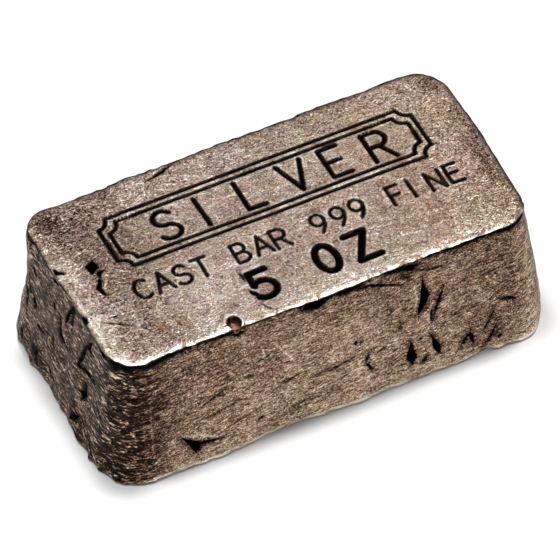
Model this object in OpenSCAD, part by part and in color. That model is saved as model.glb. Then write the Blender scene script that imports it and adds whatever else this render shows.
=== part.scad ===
// Hand-poured silver bar, lying on the wide face that was open while it was poured.
// X runs along the bar, Y across it, Z up. The origin is the middle of the foot, on the floor.

/* [Bar] */
// Length of the bar at its foot, where it is longest
foot_l = 46.5; // [38:0.1:58]
// Width of the bar at its foot, where it is widest
foot_w = 24.8; // [20:0.1:30]
// Height of the bar from the floor to its stamped face
bar_h = 15.15; // [12:0.05:18]
// Lean of the two end walls from upright, in degrees
end_draft = 5.9; // [2:0.1:9]
// Lean of the two long walls from upright, in degrees
side_draft = 6.9; // [2:0.1:9]

/* [Corners and edges] */
// Radius of the upright corners at the foot
foot_corner_r = 4.15; // [3:0.05:6]
// Radius of the upright corners at the stamped face
top_corner_r = 3.1; // [2.5:0.1:5]
// Radius of the round where the walls turn under to the foot
foot_edge_r = 0.4; // [0.2:0.05:1.2]
// How far the rolled edge of the stamped face reaches in from the walls
top_edge_in = 0.6; // [0.3:0.05:1.2]
// How far that rolled edge drops before it breaks into the wall
top_edge_drop = 0.14; // [0.05:0.01:0.6]
// How far the front right corner of the stamped face is drawn in along the bar
corner_draw = 0.3; // [0:0.05:1]

/* [Underside] */
// Width of the flat rim that the bar stands on
rim_w = 1.5; // [0.8:0.1:3]
// Depth of the hollow left by the metal as it shrank
hollow_depth = 1.5; // [0.1:0.05:2.5]

/* [Uneven surface] */
// Swell of the walls in and out, from the mean
wall_swell = 0.15; // [0:0.01:0.3]
// Ripple of the foot's outline, from the mean
foot_ripple = 0.2; // [0:0.01:0.3]

/* [Stamped face voids] */
// Place of the gas crater along the bar, as a share of half its length
crater_along = -0.413; // [-0.7:0.001:0.7]
// Distance of the crater's middle from the front edge of the stamped face
crater_inset = 0.8; // [0.75:0.01:3]
// Radius of the bubble that left the crater
crater_r = 0.76; // [0.4:0.01:0.8]
// Depth of the bubble's middle below the stamped face
crater_sink = 0.36; // [0.1:0.01:0.6]
// Place of the diamond pit, as shares of half the length and half the width
diamond_at = [-0.79, 0.16]; // [-0.8:0.001:0.8]
// Length, width and depth of the diamond pit
diamond_size = [1.65, 1.3, 1.0]; // [0.4:0.05:2]
// Turn of the diamond pit, in degrees
diamond_lean = 26; // [-90:1:90]

/* [Front wall voids] */
// Place of the long gash, as shares of half the length and of the height
gash_at = [0.395, 0.669]; // [0.1:0.001:0.8]
// Length, width and depth of the long gash
gash_size = [4.6, 1.0, 1.1]; // [0.4:0.1:5]
// Lean of the long gash from upright, in degrees
gash_lean = 9; // [-90:1:90]
// Place of the slit beside the long gash
slit_at = [0.471, 0.564]; // [0.1:0.001:0.8]
// Length, width and depth of that slit
slit_size = [4.4, 0.4, 0.7]; // [0.3:0.1:5]
// Lean of that slit, in degrees
slit_lean = 21; // [-90:1:90]
// Place of the tear near the left of the wall
tear_at = [-0.604, 0.223]; // [-0.8:0.001:0.8]
// Height, length and depth of the tear
tear_size = [3.0, 4.4, 1.0]; // [0.4:0.1:6]
// Place of the bent crack, where its two legs meet
bent_at = [0.133, 0.31]; // [-0.8:0.001:0.8]
// Length, width and depth of each leg of the bent crack
bent_size = [1.5, 0.35, 0.5]; // [0.2:0.05:3]
// Lean of the two legs of the bent crack, in degrees
bent_leans = [23, 148]; // [0:1:180]
// Place of the wedge pit
wedge_at = [0.34, 0.249]; // [-0.8:0.001:0.8]
// Length, width and depth of the wedge pit
wedge_size = [3.0, 1.1, 0.9]; // [0.3:0.05:4]
// Place of the leaning pit
lean_pit_at = [0.452, 0.235]; // [-0.8:0.001:0.8]
// Length, width and depth of the leaning pit
lean_pit_size = [3.1, 0.85, 0.9]; // [0.3:0.05:4]
// Lean of the leaning pit, in degrees
lean_pit_lean = -17; // [-90:1:90]
// Place of the top of the hooked pit
hook_at = [0.606, 0.226]; // [-0.8:0.001:0.8]
// Length, width and depth of each leg of the hooked pit
hook_size = [1.9, 0.55, 0.7]; // [0.3:0.05:4]
// Lean of the two legs of the hooked pit, in degrees
hook_leans = [-143, 166]; // [-180:1:180]
// Place of the crack that runs down to the foot
foot_crack_at = [0.706, 0.147]; // [-0.8:0.001:0.8]
// Length, width and depth of that crack
foot_crack_size = [3.4, 0.3, 0.5]; // [0.2:0.1:5]
// Lean of that crack, in degrees
foot_crack_lean = 26; // [-90:1:90]

/* [Left end voids] */
// Place of the fork crack, where its two legs meet, as shares of half the width and of the height
fork_at = [0.273, 0.606]; // [-0.7:0.001:0.7]
// Length, width and depth of each leg of the fork crack
fork_size = [4.2, 0.45, 0.6]; // [0.2:0.05:5]
// Lean of the two legs of the fork crack, in degrees
fork_leans = [18, 81]; // [0:1:180]
// Place of the long pit high on the end
high_pit_at = [0.047, 0.836]; // [-0.7:0.001:0.7]
// Length, width and depth of that pit
high_pit_size = [3.2, 0.5, 0.6]; // [0.2:0.05:4]
// Lean of that pit, in degrees
high_pit_lean = 18; // [-90:1:90]
// Place of the star pit low on the end
star_at = [0.267, 0.114]; // [-0.7:0.001:0.7]
// Length, width and depth of the star pit
star_size = [2.3, 0.7, 0.7]; // [0.3:0.1:4]
// Lean of the star pit, in degrees
star_lean = 42; // [-90:1:90]

/* [Edge chips] */
// Place of the long chip under the front edge, as a share of half the length
long_chip_along = -0.084; // [-0.8:0.001:0.8]
// Length, height and depth of the long chip
long_chip_size = [2.7, 0.95, 0.5]; // [0.3:0.05:4]
// Place of the short chip under the front edge
short_chip_along = 0.343; // [-0.8:0.001:0.8]
// Length, height and depth of the short chip
short_chip_size = [2.3, 0.8, 0.35]; // [0.3:0.05:4]
// Distance of both chips' middles below the stamped face
chip_sink = 0.75; // [0.5:0.05:1.5]
// Length, height and depth of the break in the edge below the crater
lip_size = [1.5, 0.7, 0.3]; // [0.2:0.05:2]

/* [Hidden] */
// Points on each straight and corner of an outline, and rings up each stretch of the profile
long_n = 26;
short_n = 13;
corner_n = 7;
foot_n = 4;
wall_n = 8;
top_n = 4;
hollow_n = 5;
// Cutters start this far outside the surface they cut
clear = 0.5;
// A void's floor, as a share of its mouth
floor_share = 0.4;
around_n = 2 * (long_n + short_n + 2 * corner_n);
sphere_n = 40;
silver = [0.56, 0.50, 0.45];

function mix(a, b, q) = a + (b - a) * q;

// Half the length and half the width of the bar at height z
function half_l(z) = foot_l / 2 - z * tan(end_draft);
function half_w(z) = foot_w / 2 - z * tan(side_draft);

// One outline, anticlockwise: which corner's centre a point belongs to, and which way it faces
stations = concat(
    [for (i = [0 : long_n - 1]) [mix(-1, 1, i / long_n), -1, 270]],
    [for (i = [0 : corner_n - 1]) [1, -1, 270 + 90 * i / corner_n]],
    [for (i = [0 : short_n - 1]) [1, mix(-1, 1, i / short_n), 0]],
    [for (i = [0 : corner_n - 1]) [1, 1, 90 * i / corner_n]],
    [for (i = [0 : long_n - 1]) [mix(1, -1, i / long_n), 1, 90]],
    [for (i = [0 : corner_n - 1]) [-1, 1, 90 + 90 * i / corner_n]],
    [for (i = [0 : short_n - 1]) [-1, mix(1, -1, i / short_n), 180]],
    [for (i = [0 : corner_n - 1]) [-1, -1, 180 + 90 * i / corner_n]]);

// The profile from the rim up to the stamped face: height, and distance in from the wall
levels = concat(
    [[0, foot_edge_r + rim_w]],
    [for (i = [0 : foot_n]) let (a = 90 * i / foot_n)
        [foot_edge_r * (1 - cos(a)), foot_edge_r * (1 - sin(a))]],
    [for (i = [1 : wall_n]) [mix(foot_edge_r, bar_h - top_edge_drop, i / wall_n), 0]],
    [for (i = [1 : top_n]) let (q = i / top_n)
        [bar_h - top_edge_drop * pow(1 - q, 2), top_edge_in * q]]);

// How far the cast surface stands out from the true wall, at a turn round the bar and a height
function swell(turn, z) = wall_swell
    * (0.55 * sin(4 * turn - 12 * z + 90) + 0.45 * sin(7 * turn + 9 * z + 37));
function ripple(turn, z) = foot_ripple * exp(-pow(z / 1.8, 2))
    * (0.5 * sin(9 * turn) + 0.3 * sin(14 * turn + 179) + 0.2 * sin(19 * turn + 158));

// How far a station is drawn in towards the middle: most at the front right corner of the stamped face
function drawn(s, z) = corner_draw * max(s[0], 0) * (1 - s[1]) / 2 * z / bar_h;

// The outline at one level
function ring(level) = let (z = level[0], r = mix(foot_corner_r, top_corner_r, z / bar_h))
    [for (j = [0 : around_n - 1])
        let (s = stations[j], turn = 360 * j / around_n,
            out = r - level[1] + swell(turn, z) + ripple(turn, z))
        [s[0] * (half_l(z) - r) + out * cos(s[2]) - drawn(s, z),
            s[1] * (half_w(z) - r) + out * sin(s[2]), z]];

// The hollow: the rim's inner outline drawn in to the middle, rising, with a few shrink ripples
function hollow_z(q, turn) = hollow_depth * sin(90 * q) * (1 + 0.12 * (1 - q) * sin(6 * turn + 200 * q));
function hollow_ring(q) = let (rim = ring(levels[0]))
    [for (j = [0 : around_n - 1])
        [(1 - q) * rim[j][0], (1 - q) * rim[j][1], hollow_z(q, 360 * j / around_n)]];

skin = concat(
    [[0, 0, hollow_z(1, 0)]],
    [for (k = [hollow_n - 1 : -1 : 1]) each hollow_ring(k / hollow_n)],
    [for (level = levels) each ring(level)],
    [[0, 0, bar_h]]);
rings = hollow_n - 1 + len(levels);
last_pt = rings * around_n + 1;

// Point j of ring i, counted from the hollow's middle
function at(i, j) = 1 + i * around_n + j % around_n;

module cast_body()
    polyhedron(points = skin, faces = concat(
        [for (j = [0 : around_n - 1]) [0, at(0, j), at(0, j + 1)]],
        [for (i = [0 : rings - 2], j = [0 : around_n - 1]) each [
            [at(i, j), at(i + 1, j), at(i + 1, j + 1)],
            [at(i, j), at(i + 1, j + 1), at(i, j + 1)]]],
        [for (j = [0 : around_n - 1]) [at(rings - 1, j), last_pt, at(rings - 1, j + 1)]]));

// Stand a void's own frame on a surface: Z out of the metal, Y up the wall, X along it
module on_front(shares)
    let (z = shares[1] * bar_h)
        translate([shares[0] * foot_l / 2, -half_w(z), z]) rotate([90 - side_draft, 0, 0]) children();

module on_left(shares)
    let (z = shares[1] * bar_h)
        translate([-half_l(z), -shares[0] * foot_w / 2, z]) rotate([90 - end_draft, 0, -90]) children();

module on_top(x, y)
    translate([x, y, bar_h]) children();

// Outlines at a void's mouth, as shares of its width and of its length.
// A pod has a point at each end: belly places its widest stretch, from -0.5 to 0.5 along it,
// and side says what share of the width lies to the right
function pod(belly = 0, side = 0.5) = [
    [0, 0.5], [side, belly], [0, -0.5], [side - 1, 0.6 * belly]];
gash_shape = [[0, 0.5], [0.1, 0.36], [0.95, 0.04], [0.7, -0.2], [0, -0.5], [-0.05, -0.08], [0, 0.3]];
tear_shape = [
    [-0.52, 0.42], [-0.4, 0.22], [-0.15, -0.04], [-0.05, -0.17], [0.13, -0.2], [0.51, -0.34],
    [0.3, -0.38], [0, -0.35], [-0.09, -0.44], [-0.17, -0.56], [-0.27, -0.3], [-0.4, 0.04]];

// A void in the local frame: the outline at its mouth, narrowing to a smaller floor
module void_cut(size, lean = 0, shape = pod()) {
    widen = (1 + (1 - floor_share) * clear / size[2]) / floor_share;
    rotate([0, 0, -lean]) translate([0, 0, -size[2]])
        linear_extrude(height = size[2] + clear, scale = widen)
            polygon([for (p = shape) floor_share * [p[0] * size[1], p[1] * size[0]]]);
}

// One leg of a bent void, growing from the point where the legs meet
module leg_cut(size, lean)
    rotate([0, 0, -lean]) translate([0, size[0] / 2 - size[1] / 4, 0]) void_cut(size, 0, pod(-0.1));

module stamped_face_voids() {
    crater_x = crater_along * foot_l / 2;
    on_top(crater_x, crater_inset - half_w(bar_h)) translate([0, 0, -crater_sink])
        sphere(r = crater_r, $fn = sphere_n);
    on_top(diamond_at[0] * foot_l / 2, diamond_at[1] * foot_w / 2) void_cut(diamond_size, diamond_lean);
}

module front_voids() {
    on_front(gash_at) void_cut(gash_size, gash_lean, gash_shape);
    on_front(slit_at) void_cut(slit_size, slit_lean, pod(0.15));
    on_front(tear_at) void_cut(tear_size, 0, tear_shape);
    on_front(wedge_at) void_cut(wedge_size, 0, pod(-0.3));
    on_front(lean_pit_at) void_cut(lean_pit_size, lean_pit_lean, pod(-0.1));
    on_front(foot_crack_at) void_cut(foot_crack_size, foot_crack_lean);
    for (lean = bent_leans) on_front(bent_at) leg_cut(bent_size, lean);
    for (lean = hook_leans) on_front(hook_at) leg_cut(hook_size, lean);
}

module left_end_voids() {
    for (lean = fork_leans) on_left(fork_at) leg_cut(fork_size, lean);
    on_left(high_pit_at) void_cut(high_pit_size, high_pit_lean);
    on_left(star_at) void_cut(star_size, star_lean);
}

module edge_chips() {
    chip_up = 1 - chip_sink / bar_h;
    on_front([long_chip_along, chip_up]) void_cut(long_chip_size, 90, pod(0.2, 0.6));
    on_front([short_chip_along, chip_up]) void_cut(short_chip_size, 90, pod(0.25, 0.7));
    on_front([crater_along, chip_up]) void_cut(lip_size, 90, pod(0, 0.7));
}

module silver_bar()
    color(silver) difference() {
        cast_body();
        stamped_face_voids();
        front_voids();
        left_end_voids();
        edge_chips();
    }

silver_bar();
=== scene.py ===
import functools
import itertools
import math

import bmesh
import bpy
import numpy as np
from mathutils import Matrix, Vector


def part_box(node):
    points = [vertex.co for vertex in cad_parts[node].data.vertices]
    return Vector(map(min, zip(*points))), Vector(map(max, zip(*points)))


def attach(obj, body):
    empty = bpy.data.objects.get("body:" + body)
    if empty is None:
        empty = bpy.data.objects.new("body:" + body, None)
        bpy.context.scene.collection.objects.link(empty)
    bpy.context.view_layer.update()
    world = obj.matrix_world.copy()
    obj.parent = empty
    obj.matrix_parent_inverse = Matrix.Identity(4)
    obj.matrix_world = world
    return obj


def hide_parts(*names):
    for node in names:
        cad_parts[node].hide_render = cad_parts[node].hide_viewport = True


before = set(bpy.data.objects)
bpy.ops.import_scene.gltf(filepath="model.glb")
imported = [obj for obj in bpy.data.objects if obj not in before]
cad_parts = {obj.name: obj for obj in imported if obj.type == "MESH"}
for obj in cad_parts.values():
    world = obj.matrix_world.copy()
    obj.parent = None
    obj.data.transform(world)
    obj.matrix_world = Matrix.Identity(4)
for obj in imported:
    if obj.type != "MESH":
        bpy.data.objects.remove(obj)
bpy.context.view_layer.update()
barLow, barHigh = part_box("silver_bar")
mm = 0.001
print("frame loaded")

camera = {
    "turn": -26.5,       # degrees round the bar, from square on to its long front wall
    "lift": 49.33,       # degrees above the floor
    "roll": -0.135,
    "distance": 576.1,   # mm from the middle of the foot
    "aimUp": 3.93,       # mm up the picture from the middle of the foot
    "aimRight": 0.14,
    "lens": 389.1,
}


def addCamera(c):
    turn, lift, roll = (math.radians(c[k]) for k in ("turn", "lift", "roll"))
    back = Vector((math.sin(turn) * math.cos(lift), -math.cos(turn) * math.cos(lift), math.sin(lift)))
    place = back * c["distance"] * mm
    sideways = Vector((math.cos(turn), math.sin(turn), 0))
    aim = (back.cross(sideways) * c["aimUp"] + sideways * c["aimRight"]) * mm
    back = (place - aim).normalized()
    upright = back.cross(sideways)
    right = sideways * math.cos(roll) + upright * math.sin(roll)
    upright = upright * math.cos(roll) - sideways * math.sin(roll)
    data = bpy.data.cameras.new("camera")
    data.lens = c["lens"]
    data.sensor_width = 36
    data.clip_start, data.clip_end = 0.01, 20
    cam = bpy.data.objects.new("camera", data)
    bpy.context.scene.collection.objects.link(cam)
    cam.matrix_world = Matrix((right, upright, back)).transposed().to_4x4()
    cam.location = place
    bpy.context.scene.camera = cam


addCamera(camera)
print("camera set")

# the smooth casting, before any wear: lengths in mm, turns in degrees
casting = {
    "endDraft": 5.9, "sideDraft": 6.9,
    "footCorner": 4.15, "topCorner": 3.1,
    "footEdge": 0.4,                   # round where the walls turn under
    "rollIn": 0.6, "rollDrop": 0.14,   # rolled edge of the stamped face
    "cornerDraw": 0.3,                 # how far the stamped face's front right corner is drawn in
    "rim": 1.5, "hollow": 1.5,
    "swell": 0.15, "ripple": 0.2,
    "swellPast": (0.0125, 0.271),      # how far the swell carries the box past the true foot
    "columns": (46, 24),               # grid cells along and across, before it is cut finer
    "rows": (1, 14, 1),                # grid rows up the foot's round, the wall and the roll
}
# steps round the outline on each straight and corner, by which the swell's waves are placed
outlineSteps = {"long": 26, "short": 13, "corner": 7}
flatAt = 0.999   # a point of the block further up or down than this is on its top or its foot

size = (barHigh - barLow) / mm
footLength = size.x - casting["swellPast"][0]
footWidth = size.y - casting["swellPast"][1]
barHeight = size.z
breakHeight = barHeight - casting["rollDrop"]   # where the wall ends and the roll begins


def halfLength(z):
    return footLength / 2 - z * math.tan(math.radians(casting["endDraft"]))


def halfWidth(z):
    return footWidth / 2 - z * math.tan(math.radians(casting["sideDraft"]))


def sine(degrees):
    return np.sin(np.radians(degrees))


def smooth(value):
    # eased step from 0 to 1
    q = np.clip(value, 0, 1)
    return q * q * (3 - 2 * q)


def levelOf(row):
    # height and distance in from the wall, at a row of the profile
    foot, wall, roll = casting["rows"]
    edge, drop, reach = casting["footEdge"], casting["rollDrop"], casting["rollIn"]
    a = np.radians(90 * np.clip(row / foot, 0, 1))
    q = np.clip((row - foot - wall) / roll, 0, 1)
    climb = np.clip((row - foot) / wall, 0, 1)
    z = np.where(row > foot, edge + (breakHeight - edge) * climb, edge * (1 - np.cos(a)))
    z = np.where(q > 0, barHeight - drop * (1 - q) ** 2, z)
    inset = edge * (1 - np.sin(a)) + reach * q
    return z, inset


def stationOf(x, y):
    # which corner centre a point of the outline belongs to, the way it faces, and its turn round the bar
    meanCorner = (casting["footCorner"] + casting["topCorner"]) / 2
    corner = math.pi * meanCorner / 4
    straightX = halfLength(barHeight / 2) - meanCorner
    straightY = halfWidth(barHeight / 2) - meanCorner
    shareX, shareY = straightX / (straightX + corner), straightY / (straightY + corner)
    endWall = np.abs(x) > np.abs(y)
    q = np.where(endWall, y, x)
    share = np.where(endWall, shareY, shareX)
    bend = 45 * np.clip((np.abs(q) - share) / (1 - share), 0, 1) * np.sign(q)
    along = np.clip(q / share, -1, 1)
    sx = np.where(endWall, np.sign(x), along)
    sy = np.where(endWall, along, np.sign(y))
    facing = np.select([endWall & (x > 0), endWall, y < 0], [bend, 180 - bend, 270 + bend], 90 - bend) % 360
    longN, shortN, cornerN = (outlineSteps[k] for k in ("long", "short", "corner"))
    sideStep = longN + shortN + 2 * cornerN
    cornerStep = np.select(
        [facing >= 270, facing >= 180, facing >= 90],
        [longN + cornerN * (facing - 270) / 90,
         sideStep + longN + shortN + cornerN + cornerN * (facing - 180) / 90,
         sideStep + longN + cornerN * (facing - 90) / 90],
        longN + cornerN + shortN + cornerN * facing / 90)
    straightStep = np.select(
        [endWall & (x > 0), endWall, y < 0],
        [longN + cornerN + shortN * (sy + 1) / 2,
         sideStep + longN + cornerN + shortN * (1 - sy) / 2,
         longN * (sx + 1) / 2],
        sideStep + longN * (1 - sx) / 2)
    turn = 360 * np.where(np.abs(bend) > 0, cornerStep, straightStep) / (2 * sideStep)
    return sx, sy, np.radians(facing), turn


def castingForm(cube):
    # where each point of a 2 x 2 x 2 block lies on the casting in mm, the way its wall faces, and its row
    x, y, z = cube.T
    reach = np.maximum(np.abs(x), np.abs(y))
    flat = np.abs(z) > flatAt
    scale = np.where(flat, reach, 1)
    safe = np.maximum(reach, 1e-9)
    sx, sy, facing, turn = stationOf(x / safe, y / safe)
    row = (z + 1) / 2 * sum(casting["rows"])
    height, inset = levelOf(row)
    corner = casting["footCorner"] + (casting["topCorner"] - casting["footCorner"]) * height / barHeight
    swell = casting["swell"] * (
        0.55 * sine(4 * turn - 12 * height + 90) + 0.45 * sine(7 * turn + 9 * height + 37))
    ripple = casting["ripple"] * np.exp(-(height / 1.8) ** 2) * (
        0.5 * sine(9 * turn) + 0.3 * sine(14 * turn + 179) + 0.2 * sine(19 * turn + 158))
    out = corner - inset + swell + ripple
    drawn = casting["cornerDraw"] * np.maximum(sx, 0) * (1 - sy) / 2 * height / barHeight
    px = (sx * (halfLength(height) - corner) + out * np.cos(facing) - drawn) * scale
    py = (sy * (halfWidth(height) - corner) + out * np.sin(facing)) * scale
    rimShare = 1 - casting["rim"] / halfWidth(0)
    q = np.clip(1 - scale / rimShare, 0, 1)
    hollow = casting["hollow"] * sine(90 * q) * (1 + 0.12 * (1 - q) * sine(6 * turn + 200 * q))
    pz = np.where(flat & (z < 0), hollow, height)
    return np.stack([px, py, pz], 1), facing, row


def clouds(places, across, seed):
    # soft random values from -1 to 1, each about so many mm across
    lattice = np.random.default_rng(seed).uniform(-1, 1, (32, 32, 32))
    p = places / np.array(across) + 50
    cell = np.floor(p).astype(int)
    f = smooth(p - cell)
    value = np.zeros(len(places))
    for corner in itertools.product((0, 1), repeat=3):
        weight = np.prod(np.where(corner, f, 1 - f), axis=1)
        i, j, k = ((cell + corner) % 32).T
        value += weight * lattice[i, j, k]
    return value


def hump(value, at, spread):
    # 1 where a value is at its place, fading to 0 on both sides
    return np.exp(-((value - at) / spread) ** 2)


def awayFrom(points, spot):
    # level distance in mm from a spot
    return np.hypot(points[:, 0] - spot[0], points[:, 1] - spot[1])


def towards(facing, side):
    # 1 all over the wall on one side of the bar, 0 past the middle of its corners
    way = {"front": -np.sin(facing), "back": np.sin(facing), "left": -np.cos(facing), "right": np.cos(facing)}
    return smooth(way[side] * 2 - 0.6)


def faceFrame(face):
    # origin and axes, along, up and out, of a flat face of the bar
    if face == "top":
        return np.array([0, 0, barHeight]), np.eye(3)
    longWall = face in ("front", "back")
    sign = -1 if face in ("front", "left") else 1
    draft = math.radians(casting["sideDraft" if longWall else "endDraft"])
    rise, lean = math.cos(draft), math.sin(draft)
    if longWall:
        axes = [[-sign, 0, 0], [0, -sign * lean, rise], [0, sign * rise, lean]]
        return np.array([0, sign * halfWidth(0), 0]), np.array(axes)
    axes = [[0, sign, 0], [-sign * lean, 0, rise], [sign * rise, 0, lean]]
    return np.array([sign * halfLength(0), 0, 0]), np.array(axes)


def arc(cx, cy, rx, ry, start, end, steps=12):
    turns = np.radians(np.linspace(start, end, steps + 1))
    return [(cx + rx * math.cos(t), cy + ry * math.sin(t)) for t in turns]


def nearestOn(points, line, reach):
    # for the points within reach of a line: which they are, their gap to it, the nearest spot on it, and how
    # far along the line that is, from 0 to 1
    line = np.array(line, float)
    low, high = line.min(0) - reach, line.max(0) + reach
    close = np.flatnonzero(np.all((points > low) & (points < high), axis=1))
    p = points[close]
    best = np.full(len(p), np.inf)
    spot = np.zeros_like(p)
    share = np.zeros(len(p))
    lengths = np.hypot(*np.diff(line, axis=0).T)
    before = np.concatenate([[0], np.cumsum(lengths)])
    for i, (a, b) in enumerate(zip(line[:-1], line[1:])):
        run = b - a
        t = np.clip((p - a) @ run / (run @ run), 0, 1)
        here = a + t[:, None] * run
        gap = np.hypot(*(p - here).T)
        nearer = gap < best
        best[nearer], spot[nearer] = gap[nearer], here[nearer]
        share[nearer] = (before[i] + t[nearer] * lengths[i]) / before[-1]
    return close, best, spot, share


def insideOutline(points, outline):
    x, y = points.T
    within = np.zeros(len(points), bool)
    for (ax, ay), (bx, by) in zip(outline, outline[1:] + outline[:1]):
        if ay != by:
            within ^= ((ay > y) != (by > y)) & (x < (bx - ax) * (y - ay) / (by - ay) + ax)
    return within


# shrink voids and breaks. Outlines are in shares of a void's width and length
def pod(belly=0, side=0.5):
    return [(0, 0.5), (side, belly), (0, -0.5), (side - 1, 0.6 * belly)]


gashShape = [(0, 0.5), (0.1, 0.36), (0.95, 0.04), (0.7, -0.2), (0, -0.5), (-0.05, -0.08), (0, 0.3)]
tearShape = [(-0.52, 0.42), (-0.4, 0.22), (-0.15, -0.04), (-0.05, -0.17), (0.13, -0.2), (0.51, -0.34),
             (0.3, -0.38), (0, -0.35), (-0.09, -0.44), (-0.17, -0.56), (-0.27, -0.3), (-0.4, 0.04)]
chipUp = 1 - 0.75 / barHeight
# face, share of half its length, share of the height (on top, of half the width), (length, width, depth)
# in mm, lean from upright in degrees, outline
voids = {
    "longGash": ("front", 0.395, 0.669, (4.6, 1.0, 1.1), 9, gashShape),
    "slit": ("front", 0.471, 0.564, (4.4, 0.4, 0.7), 21, pod(0.15)),
    "tear": ("front", -0.604, 0.223, (3.0, 4.4, 1.0), 0, tearShape),
    "wedgePit": ("front", 0.34, 0.249, (3.0, 1.1, 0.9), 0, pod(-0.3)),
    "leanPit": ("front", 0.452, 0.235, (3.1, 0.85, 0.9), -17, pod(-0.1)),
    "footCrack": ("front", 0.706, 0.147, (3.4, 0.3, 0.5), 26, pod()),
    "highPit": ("left", 0.047, 0.836, (3.2, 0.5, 0.6), 18, pod()),
    "starPit": ("left", 0.267, 0.114, (2.3, 0.7, 0.7), 42, pod()),
    "diamondPit": ("top", -0.79, 0.16, (1.65, 1.3, 1.0), 26, pod()),
    "longChip": ("front", -0.084, chipUp, (2.7, 0.95, 0.5), 90, pod(0.2, 0.6)),
    "shortChip": ("front", 0.343, chipUp, (2.3, 0.8, 0.35), 90, pod(0.25, 0.7)),
    "craterLip": ("front", -0.411, chipUp, (1.5, 0.7, 0.3), 90, pod(0, 0.7)),
}
# bent voids: face, shares of where the legs meet, size of a leg, the leans of the legs
bentVoids = {
    "bentCrack": ("front", 0.133, 0.31, (1.5, 0.35, 0.5), (23, 148)),
    "hook": ("front", 0.606, 0.226, (1.9, 0.55, 0.7), (-143, 166)),
    "forkCrack": ("left", 0.273, 0.606, (4.2, 0.45, 0.6), (18, 81)),
}
crater = {
    "along": -0.413, "inset": 0.68,        # share of half the length, and mm in from the front edge
    "radius": 0.76, "sink": 0.36,
    "rimOut": 0.86, "rimWide": 0.13, "rimHeight": 0.08,
    "darkFrom": (0.75, 0.66, 0),           # the side of the hollow painted black as shade
    # a painted glint on the floor of the hollow
    "glintAt": (0.06, 0.52), "glintWide": 0.12,
}


def turned(points, lean):
    c, s = math.cos(math.radians(lean)), math.sin(math.radians(lean))
    return [(x * c + y * s, y * c - x * s) for x, y in points]


def outlineOf(shape, sizes, lean, shift=0):
    return turned([(x * sizes[1], y * sizes[0] + shift) for x, y in shape], lean)


def voidFeature(face, along, up, sizes, outline):
    half = halfWidth(0) if face == "left" else halfLength(0)
    rise = halfWidth(0) if face == "top" else barHeight
    draft = {"front": casting["sideDraft"], "left": casting["endDraft"], "top": 0}[face]
    x, y = along * half, up * rise / math.cos(math.radians(draft))
    outline = [(x + u, y + v) for u, v in outline]
    return {"kind": "void", "face": face, "outline": outline, "width": sizes[1], "depth": sizes[2],
            "dark": True}


def voidFeatures():
    made = []
    for face, along, up, sizes, lean, shape in voids.values():
        made.append(voidFeature(face, along, up, sizes, outlineOf(shape, sizes, lean)))
    for face, along, up, sizes, leans in bentVoids.values():
        shift = sizes[0] / 2 - sizes[1] / 4
        for lean in leans:
            made.append(voidFeature(face, along, up, sizes, outlineOf(pod(-0.1), sizes, lean, shift)))
    return made


# stamped marks: plain generic ones. Letter strokes are in shares of the letter's height
letters = {
    "S": [arc(0.31, 0.745, 0.27, 0.255, 30, 270) + arc(0.31, 0.25, 0.3, 0.25, 80, -150)],
    "I": [[(0.1, 0), (0.1, 1)]],
    "L": [[(0, 1), (0, 0), (0.5, 0)]],
    "V": [[(0, 1), (0.34, 0), (0.68, 1)]],
    "E": [[(0.52, 1), (0, 1), (0, 0), (0.54, 0)], [(0, 0.52), (0.44, 0.52)]],
    "R": [[(0, 0), (0, 1)] + arc(0.32, 0.75, 0.25, 0.25, 90, -90) + [(0, 0.5)], [(0.3, 0.5), (0.6, 0)]],
    "C": [arc(0.34, 0.5, 0.34, 0.5, 50, 310)],
    "A": [[(0, 0), (0.34, 1), (0.68, 0)], [(0.12, 0.34), (0.56, 0.34)]],
    "T": [[(0, 1), (0.62, 1)], [(0.31, 1), (0.31, 0)]],
    "B": [[(0, 0), (0, 1)] + arc(0.28, 0.76, 0.24, 0.24, 90, -90) + [(0, 0.52)],
          [(0.28, 0.52)] + arc(0.28, 0.26, 0.3, 0.26, 80, -90) + [(0, 0)]],
    "F": [[(0.5, 1), (0, 1), (0, 0)], [(0, 0.52), (0.42, 0.52)]],
    "N": [[(0, 0), (0, 1), (0.6, 0), (0.6, 1)]],
    "9": [arc(0.3, 0.69, 0.28, 0.31, 0, 360), [(0.58, 0.66), (0.5, 0.33), (0.26, 0)]],
    "5": [[(0.72, 1), (0.19, 1), (0.16, 0.5)] + arc(0.39, 0.32, 0.36, 0.32, 125, -138)],
    "O": [arc(0.3, 0.5, 0.3, 0.5, 0, 360, 24)],
    "Z": [[(0, 1), (0.62, 1), (0.04, 0), (0.7, 0)]],
}
marks = {
    "word": {"text": "SILVER", "at": (-11.03, 1.89), "height": 3.6, "pitch": 4.45,
             "width": 0.46, "depth": 0.26},
    "smallLine": {"text": "CAST BAR 999 FINE", "at": (-16.08, -3.72), "height": 2.3, "pitch": 2.03,
                  "width": 0.3, "depth": 0.17},
    "weight": {"text": "5 OZ", "at": (-6.5, -8.6), "height": 3.3, "pitch": 3.55, "width": 0.68, "depth": 0.5,
               "turn": 1.0},
}
border = {"low": (-15.89, 0.45), "high": (16.83, 6.89), "notch": 1.1, "gap": 0.75,
          "width": 0.34, "depth": 0.2}


def wordLines(mark, seed):
    # hand-set punches: each letter sits a little off the line
    rng = np.random.default_rng(seed)
    lines = []
    for i, letter in enumerate(mark["text"]):
        tilt, rise = rng.uniform(-1.2, 1.2), rng.uniform(-0.05, 0.05)
        for stroke in letters.get(letter, []):
            h = mark["height"]
            stroke = turned([(x * h, y * h) for x, y in stroke], tilt)
            stroke = [(x + i * mark["pitch"], y + rise) for x, y in stroke]
            stroke = turned(stroke, -mark.get("turn", 0))
            lines.append([(x + mark["at"][0], y + mark["at"][1]) for x, y in stroke])
    return lines


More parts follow.
